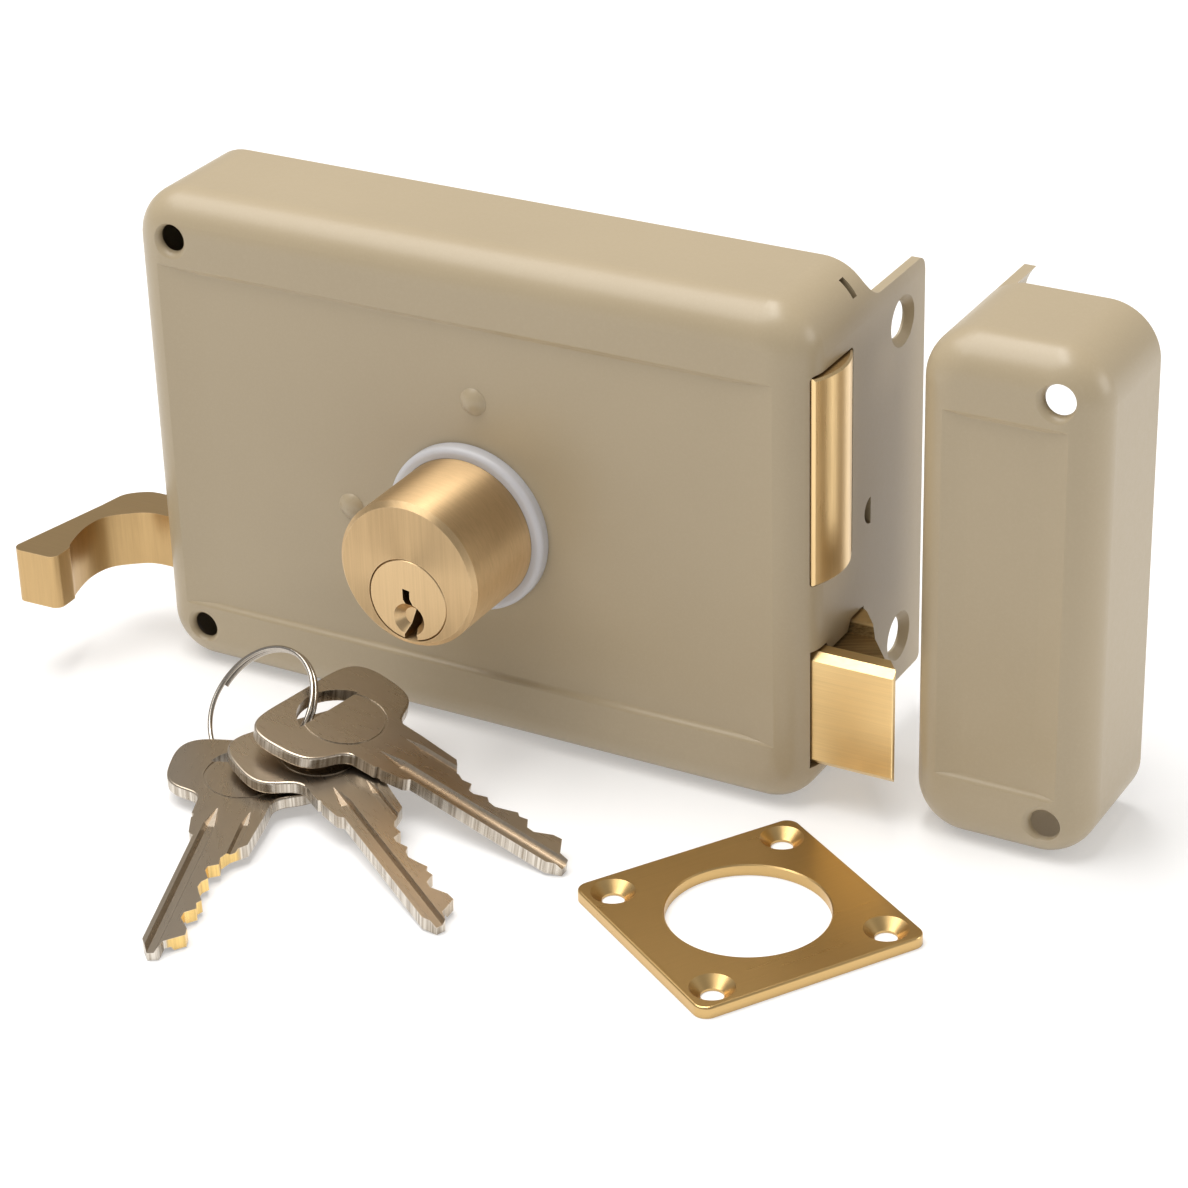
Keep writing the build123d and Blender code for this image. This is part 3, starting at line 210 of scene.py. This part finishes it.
    # grain fields: points whose noise runs in lines
    def along(self, direction, keep=0.02, offset=(0.0, 0.0, 0.0)):
        """Lines that run along a direction."""
        d = Vector(direction).normalized()
        p = self.vec("ADD", self.place(), tuple(offset)) if any(offset) else self.place()
        run = self.vec("DOT_PRODUCT", p, tuple(d))
        back = self.vec("SCALE", tuple(d), scale=self.math("MULTIPLY", run, 1.0 - keep))
        return self.vec("SUBTRACT", p, back)

    def around(self, centre, axis="Y", keep=0.002):
        """Lines that run round an axis through a centre."""
        p = self.vec("SUBTRACT", self.place(), tuple(centre))
        sep = self.node("ShaderNodeSeparateXYZ")
        self.link(p, sep.inputs[0])
        u, v, w = {"X": ("Y", "Z", "X"), "Y": ("X", "Z", "Y"), "Z": ("X", "Y", "Z")}[axis]
        flat = self.node("ShaderNodeCombineXYZ")
        self.link(sep.outputs[u], flat.inputs[0])
        self.link(sep.outputs[v], flat.inputs[1])
        radius = self.vec("LENGTH", flat.outputs[0])
        angle = self.math("MULTIPLY", self.math("ARCTAN2", sep.outputs[u], sep.outputs[v]), keep)
        out = self.node("ShaderNodeCombineXYZ")
        self.link(sep.outputs[w], out.inputs[0])
        self.link(radius, out.inputs[1])
        self.link(angle, out.inputs[2])
        return out.outputs[0]

    def facing(self, direction, low=0.55, high=0.8):
        """1 on faces square to a direction, both ways."""
        d = self.math("ABSOLUTE", self.vec("DOT_PRODUCT", self.normal(), tuple(Vector(direction).normalized())))
        return self.span(d, low, high)

    def set(self, **values):
        for key, value in values.items():
            self.put(self.bsdf.inputs[key.replace("_", " ").title().replace("Ior", "IOR")], value)


# ---------------------------------------------------------------- finishes
def paint(name, base, pale, deep, worn):
    """Satin baked paint: faint cloudiness, orange peel, thin rubbed edges, painted shade in the gaps and corners."""
    g = Graph(name)
    p = g.place()
    cloud = g.noise(p, 26.0, 4.0, 0.55)
    fleck = g.noise(p, 2300.0, 2.0, 0.6)
    colour = g.mix(g.span(cloud, 0.32, 0.70), deep, base)
    colour = g.mix(g.span(fleck, 0.45, 0.75, 0.0, 0.22), colour, pale)
    edge = g.math("MULTIPLY", g.edges(0.0007), g.span(g.noise(p, 420.0, 3.0, 0.6), 0.38, 0.62))
    colour = g.mix(g.math("MULTIPLY", edge, 0.40), colour, worn)
    # painted shade: the colour darkens towards a deep tone in corners and gaps, by ambient occlusion
    painted_corner_shade = g.span(g.hollow(0.0030), 0.30, 0.75, 0.40, 0.0)
    colour = g.mix(painted_corner_shade, colour, tuple(c * 0.35 for c in deep))
    peel = g.noise(p, 900.0, 2.0, 0.5)
    fine = g.noise(p, 5200.0, 1.0, 0.5)
    rough = g.span(g.math("ADD", g.math("MULTIPLY", peel, 0.5), g.math("MULTIPLY", cloud, 0.5)), 0.3, 0.7, 0.34, 0.43)
    height = g.math("ADD", peel, g.math("MULTIPLY", fine, 0.25))
    g.set(base_color=colour, roughness=rough, normal=g.bump(height, 0.10, 0.00006))
    g.bsdf.inputs["Metallic"].default_value = 0.0
    g.bsdf.inputs["IOR"].default_value = 1.5
    g.bsdf.inputs["Coat Weight"].default_value = 0.15
    g.bsdf.inputs["Coat Roughness"].default_value = 0.22
    return g.mat


def metal(name, base, highlight_tone, field, rough=0.30, spread=0.05, tint=0.10, fine=6200.0, coarse=1500.0, grain=0.30, blotch=60.0,
          edge_radius=0.0004, worn=0.45, pits=0.0, gap_shade_amount=0.35, turned=0.0, dull=None):
    """Brushed metal: field(g) gives the points whose noise runs in lines. Edges are rubbed pale and carry a painted
    highlight; gaps get painted shade.
    """
    g = Graph(name)
    p = g.place()
    lines = field(g)
    s1 = g.noise(lines, fine, 2.0, 0.6)
    s2 = g.noise(lines, coarse, 2.0, 0.55)
    cloud = g.noise(p, blotch, 3.0, 0.55)
    deep = tuple(c * (1.0 - tint) for c in base)
    tone = g.math("ADD", g.math("MULTIPLY", s1, 0.40), g.math("ADD", g.math("MULTIPLY", s2, 0.32), g.math("MULTIPLY", cloud, 0.28)))
    colour = g.mix(g.span(tone, 0.36, 0.64), deep, base)
    # edges: rubbed pale, with a painted highlight mixed in towards the bright tone
    edge = g.math("MULTIPLY", g.edges(edge_radius), g.span(g.noise(p, 900.0, 2.0, 0.6), 0.30, 0.60, 0.45, 1.0))
    colour = g.mix(g.math("MULTIPLY", edge, worn), colour, highlight_tone)
    # painted shade: darker towards gaps and corners, by ambient occlusion
    painted_gap_shade = g.span(g.hollow(0.0022), 0.25, 0.70, gap_shade_amount, 0.0)
    colour = g.mix(painted_gap_shade, colour, tuple(c * 0.30 for c in base))
    level = g.math("ADD", g.math("MULTIPLY", s1, 0.4), g.math("ADD", g.math("MULTIPLY", s2, 0.3), g.math("MULTIPLY", cloud, 0.3)))
    r = g.span(level, 0.34, 0.66, rough + spread, rough - spread)
    height = g.math("ADD", g.math("MULTIPLY", s1, 0.7), g.math("MULTIPLY", s2, 0.3))
    if pits:
        dots = g.cells(p, 1500.0)
        height = g.math("SUBTRACT", height, g.math("MULTIPLY", g.span(dots.outputs["Distance"], 0.0, 0.35, 1.0, 0.0), pits))
    if dull is not None:
        mask, shade, gloss = dull(g)
        colour = g.mix(mask, colour, shade)
        r = g.blend(mask, r, gloss)
    g.set(base_color=colour, roughness=r, normal=g.bump(height, grain, 0.00002))
    g.bsdf.inputs["Metallic"].default_value = 1.0
    if turned:
        ring = g.node("ShaderNodeTangent", direction_type="RADIAL", axis="Y")
        g.link(ring.outputs["Tangent"], g.bsdf.inputs["Tangent"])
        g.bsdf.inputs["Anisotropic"].default_value = turned
        g.bsdf.inputs["Anisotropic Rotation"].default_value = TURNED_ROTATION
    return g.mat


TURNED_ROTATION = 0.25


def plastic(name, base, deep):
    """Moulded translucent-white plastic."""
    g = Graph(name)
    p = g.place()
    cloud = g.noise(p, 90.0, 3.0, 0.5)
    fine = g.noise(p, 2600.0, 2.0, 0.6)
    turn = g.noise(g.around((0.0, 0.0, 0.0), "Y"), 900.0, 2.0, 0.5)
    colour = g.mix(g.span(cloud, 0.3, 0.7), deep, base)
    # painted shade: darker towards gaps and corners, by ambient occlusion
    painted_gap_shade = g.span(g.hollow(0.002), 0.25, 0.75, 0.35, 0.0)
    colour = g.mix(painted_gap_shade, colour, tuple(c * 0.55 for c in deep))
    rough = g.span(fine, 0.3, 0.7, 0.30, 0.42)
    height = g.math("ADD", g.math("MULTIPLY", fine, 0.4), g.math("MULTIPLY", turn, 0.6))
    g.set(base_color=colour, roughness=rough, normal=g.bump(height, 0.08, 0.00004))
    g.bsdf.inputs["Subsurface Weight"].default_value = 0.15
    g.bsdf.inputs["Subsurface Radius"].default_value = (0.002, 0.002, 0.002)
    g.bsdf.inputs["Subsurface Scale"].default_value = 1.0
    return g.mat


KEY_LENGTH, KEY_MIDDLE = 27.6, 4.0


def key_frame(tx, ty, yaw, tilt):
    """Origin and the three directions of a key as it lies: along the blade, across it, and off its face."""
    a, t = math.radians(yaw), math.radians(tilt)
    d = Vector((math.cos(a) * math.cos(t), math.sin(a) * math.cos(t), -math.sin(t)))
    n = Vector((-math.sin(a), math.cos(a), 0.0))
    o = Vector((tx, ty, -38.68)) - d * KEY_LENGTH - n * KEY_MIDDLE
    return o * MM, d, n, d.cross(n)


def key_metal(name, pose, nickel, highlight_tone, cut_colour):
    """Satin nickel plate: faint brushing on the faces, saw marks on the sides whose pale end is a painted highlight,
    the cut edge of the blade bare, edges rubbed pale with a painted highlight, painted shade in the hollows.
    """
    g = Graph(name)
    o, d, n, w = key_frame(*pose)
    p = g.place()
    side = g.span(g.math("ABSOLUTE", g.vec("DOT_PRODUCT", g.normal(), tuple(w))), 0.30, 0.55, 1.0, 0.0)
    s1 = g.noise(g.along(d, 0.03), 5200.0, 2.0, 0.6)
    s2 = g.noise(g.along((d + n * 0.35).normalized(), 0.03), 1300.0, 2.0, 0.6)
    cloud = g.noise(p, 90.0, 3.0, 0.6)
    deep = tuple(c * 0.93 for c in nickel)
    tone = g.math("ADD", g.math("MULTIPLY", s1, 0.26), g.math("ADD", g.math("MULTIPLY", s2, 0.16), g.math("MULTIPLY", cloud, 0.58)))
    colour = g.mix(g.span(tone, 0.34, 0.66), deep, nickel)
    # side walls: saw marks, with a painted highlight in their pale whitish end
    mills = g.noise(g.along(w, 0.02), 1900.0, 2.0, 0.65)
    saw_marks_and_sheen = g.mix(g.span(mills, 0.36, 0.64), tuple(c * 0.66 for c in nickel), tuple(c * 0.92 for c in highlight_tone))
    colour = g.mix(g.math("MULTIPLY", side, 0.85), colour, saw_marks_and_sheen)
    rel = g.vec("SUBTRACT", p, tuple(o))
    along = g.vec("DOT_PRODUCT", rel, tuple(d))
    across = g.vec("DOT_PRODUCT", rel, tuple(n))
    cut = g.math("MULTIPLY", side, g.math("MULTIPLY", g.span(along, -0.0002, 0.0004), g.span(across, 0.0036, 0.0040)))
    colour = g.mix(cut, colour, g.mix(g.span(mills, 0.35, 0.65), tuple(c * 0.74 for c in cut_colour), cut_colour))
    # edges: rubbed pale, with a painted highlight mixed in towards the bright tone
    edge = g.math("MULTIPLY", g.edges(0.0004), g.span(g.noise(p, 700.0, 2.0, 0.6), 0.32, 0.62, 0.40, 1.0))
    colour = g.mix(g.math("MULTIPLY", edge, 0.42), colour, highlight_tone)
    # painted shade: darker towards grooves and gaps, by ambient occlusion
    painted_gap_shade = g.span(g.hollow(0.0014), 0.25, 0.70, 0.30, 0.0)
    colour = g.mix(painted_gap_shade, colour, tuple(c * 0.30 for c in nickel))
    level = g.math("ADD", g.math("MULTIPLY", s1, 0.4), g.math("ADD", g.math("MULTIPLY", s2, 0.3), g.math("MULTIPLY", cloud, 0.3)))
    rough = g.span(level, 0.34, 0.66, 0.31, 0.26)
    height = g.blend(side, g.math("ADD", g.math("MULTIPLY", s1, 0.6), g.math("MULTIPLY", s2, 0.4)), g.math("MULTIPLY", mills, 2.6))
    g.set(base_color=colour, roughness=rough, normal=g.bump(height, 0.11, 0.00002))
    g.bsdf.inputs["Metallic"].default_value = 1.0
    return g.mat


def two_way(axis, on_face, elsewhere):
    """A grain field with one run of lines on the faces square to an axis and another on the rest."""
    def field(g):
        return g.blend_vec(g.facing(axis), elsewhere(g), on_face(g))
    return field


X, Y, Z = (1.0, 0.0, 0.0), (0.0, 1.0, 0.0), (0.0, 0.0, 1.0)
BRASS, BRASS_LIGHT = (0.79, 0.535, 0.255), (0.93, 0.75, 0.48)
CYLINDER = (0.665, 0.475, 0.262)


def groove_floor(g):
    """Rough cast floor and sides of the groove along the top of the latch."""
    sep = g.node("ShaderNodeSeparateXYZ")
    g.link(g.place(), sep.inputs[0])
    low = g.span(sep.outputs["Z"], -0.01130, -0.01105, 1.0, 0.0)
    inside = g.math("MULTIPLY", g.span(sep.outputs["Y"], -0.01665, -0.01645), g.span(sep.outputs["Y"], -0.00680, -0.00660, 1.0, 0.0))
    above = g.span(sep.outputs["Z"], -0.01300, -0.01285)
    mask = g.math("MULTIPLY", g.math("MULTIPLY", low, inside), above)
    ribs = g.noise(g.along((1.0, 0.55, 0.0), 0.04), 2300.0, 3.0, 0.65)
    shade = g.mix(g.span(ribs, 0.35, 0.65), (0.21, 0.135, 0.055), (0.42, 0.285, 0.125))
    return mask, shade, g.span(ribs, 0.3, 0.7, 0.62, 0.48)


cyl_field = two_way(Y, lambda g: g.along(Z, 0.015), lambda g: g.around((0.0, 0.0, 0.0), "Y"))
plug_field = two_way(Y, lambda g: g.along(Z, 0.015), lambda g: g.around((0.0, 0.0, -0.0044), "Y"))

beige = paint("beige_paint", (0.432, 0.350, 0.228), (0.472, 0.387, 0.260), (0.415, 0.335, 0.217), (0.52, 0.437, 0.312))
brass_cyl = metal("brass_cylinder", CYLINDER, BRASS_LIGHT, cyl_field, rough=0.50, spread=0.04, tint=0.12, fine=4200.0, coarse=1500.0, grain=0.25, turned=0.85)
brass_plug = metal("brass_plug", CYLINDER, BRASS_LIGHT, plug_field, rough=0.33, spread=0.04, tint=0.12, fine=4200.0, coarse=1500.0)
# painted light: the latch's brass is set paler for the floor's reflection on its front, and the handle's and plate's
# darker for their dim reflections
brass_latch = metal("brass_latch", (0.96, 0.712, 0.355), (0.95, 0.78, 0.50),
                    two_way(Z, lambda g: g.along((1.0, 0.55, 0.0), 0.03), lambda g: g.along(X, 0.02)),
                    rough=0.34, fine=4800.0, coarse=1600.0, tint=0.12, dull=groove_floor)
brass_bolt = metal("brass_bolt", (0.90, 0.65, 0.33), (0.95, 0.78, 0.50), lambda g: g.along(Z, 0.02), rough=0.30, fine=4200.0)
brass_handle = metal("brass_handle", (0.56, 0.38, 0.18), (0.78, 0.60, 0.36),
                     two_way(Z, lambda g: g.along(X, 0.03), lambda g: g.along(Z, 0.03)), rough=0.34, fine=4800.0, coarse=1700.0, tint=0.10)
PLATE_ROT = math.radians(57.53)
brass_plate = metal("brass_plate", (0.62, 0.420, 0.180), (0.84, 0.66, 0.39),
                    lambda g: g.along((math.cos(PLATE_ROT), math.sin(PLATE_ROT), 0.0), 0.02),
                    rough=0.29, spread=0.02, fine=5200.0, coarse=1700.0, tint=0.05, grain=0.13, worn=0.14)
brass_pin = metal("brass_pin", (0.78, 0.56, 0.27), BRASS_LIGHT, lambda g: g.along(X, 0.05), rough=0.28)
zinc = metal("zinc_steel", (0.58, 0.58, 0.565), (0.76, 0.76, 0.75),
             lambda g: g.along((0.3, 0.0, 1.0), 0.08), rough=0.34, spread=0.07, fine=2600.0, coarse=420.0, tint=0.18, pits=0.12)
ring_steel = metal("ring_steel", (0.50, 0.455, 0.40), (0.74, 0.70, 0.64),
                   lambda g: g.along(Z, 0.5), rough=0.16, spread=0.05, fine=2600.0, coarse=700.0, grain=0.12, tint=0.14, edge_radius=0.0001, worn=0.2)
white = plastic("white_plastic", (0.60, 0.60, 0.625), (0.54, 0.54, 0.565))

NICKEL, NICKEL_LIGHT = (0.480, 0.405, 0.318), (0.82, 0.77, 0.69)
KEYS = {
    "key_1": ((-7.697, -102.867, -71.318, 2.565), (0.88, 0.62, 0.24)),
    "key_2": ((26.444, -76.032, -32.772, 6.285), (0.56, 0.47, 0.36)),
    "key_3": ((34.150, -52.842, -9.534, 10.821), (0.56, 0.47, 0.36)),
}
finish = {
    "beige_paint": beige, "satin_brass": brass_cyl, "plate_brass": brass_plate, "pin_brass": brass_pin,
    "zinc_steel": zinc, "white_plastic": white, "ring_steel": ring_steel,
}
special = {
    "inner_plug": brass_plug, "outer_plug": brass_plug, "latch_bolt": brass_latch, "deadbolt_head": brass_bolt, "pull_handle": brass_handle,
}
for key_name, (key_pose, key_cut) in KEYS.items():
    special[key_name] = key_metal(key_name + "_nickel", key_pose, NICKEL, NICKEL_LIGHT, key_cut)

for part in frame["record"]["subparts"]:
    obj = nodes[part["node"]]
    mat = special.get(part["node"]) or finish[part["material_slot"]]
    if not obj.material_slots:
        obj.data.materials.append(mat)
    for s in obj.material_slots:
        s.material = mat


# ---------------------------------------------------------------- latch spring
# the latch spring's mesh is copied into a coil of its own on the lock body and the original hidden; the real coil is
# pressed together between its bracket and the latch as the latch goes back, which this copy does not do
coil = bpy.data.objects.new("latch_spring_coil", nodes["latch_spring"].data.copy())
scene.collection.objects.link(coil)
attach(coil, "lock_body")
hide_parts("latch_spring")
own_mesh(coil)


# ---------------------------------------------------------------- floor and light
def make_floor():
    mesh = bpy.data.meshes.new("floor")
    bm = bmesh.new()
    bmesh.ops.create_grid(bm, x_segments=8, y_segments=8, size=4.0)
    bm.to_mesh(mesh)
    bm.free()
    obj = bpy.data.objects.new("floor", mesh)
    obj.location = (0.0, 0.0, FLOOR_Z - 0.00005)
    scene.collection.objects.link(obj)
    g = Graph("floor_white")
    soft = g.noise(g.place(), 6.0, 2.0, 0.5)
    g.set(base_color=g.mix(soft, (0.70, 0.70, 0.705), (0.72, 0.72, 0.725)), roughness=g.span(soft, 0.3, 0.7, 0.75, 0.85))
    g.bsdf.inputs["Specular IOR Level"].default_value = 0.2
    g.bsdf.inputs["Emission Color"].default_value = (1.0, 1.0, 1.0, 1.0)
    g.bsdf.inputs["Emission Strength"].default_value = 0.32
    obj.data.materials.append(g.mat)


def soft_light(name, spot, aim, size, watts, colour=(1.0, 1.0, 1.0)):
    data = bpy.data.lights.new(name, "AREA")
    data.shape = "RECTANGLE"
    data.size, data.size_y = size
    data.energy = watts
    data.color = colour
    obj = bpy.data.objects.new(name, data)
    scene.collection.objects.link(obj)
    obj.location = spot
    obj.rotation_mode = "QUATERNION"
    obj.rotation_quaternion = (Vector(aim) - Vector(spot)).to_track_quat("-Z", "Y")
    return obj


make_floor()
world = bpy.data.worlds.new("studio")
scene.world = world
world.use_nodes = True
back = world.node_tree.nodes.get("Background")
back.inputs["Color"].default_value = (1.0, 0.985, 0.965, 1.0)
back.inputs["Strength"].default_value = 0.38
soft_light("top_soft", (-0.40, -0.20, 1.08), (0.0, 0.0, 0.0), (1.1, 1.0), 12.7, (1.0, 0.98, 0.95))
soft_light("strip_soft", (-0.06, 0.12, 1.12), (0.0, 0.0, 0.0), (0.22, 1.0), 4.4, (1.0, 0.98, 0.95))
soft_light("right_soft", (1.15, 0.42, 0.34), (0.08, 0.0, 0.0), (0.55, 0.55), 3.8, (1.0, 0.98, 0.95))

scene.view_settings.view_transform = "Standard"
scene.view_settings.look = "None"
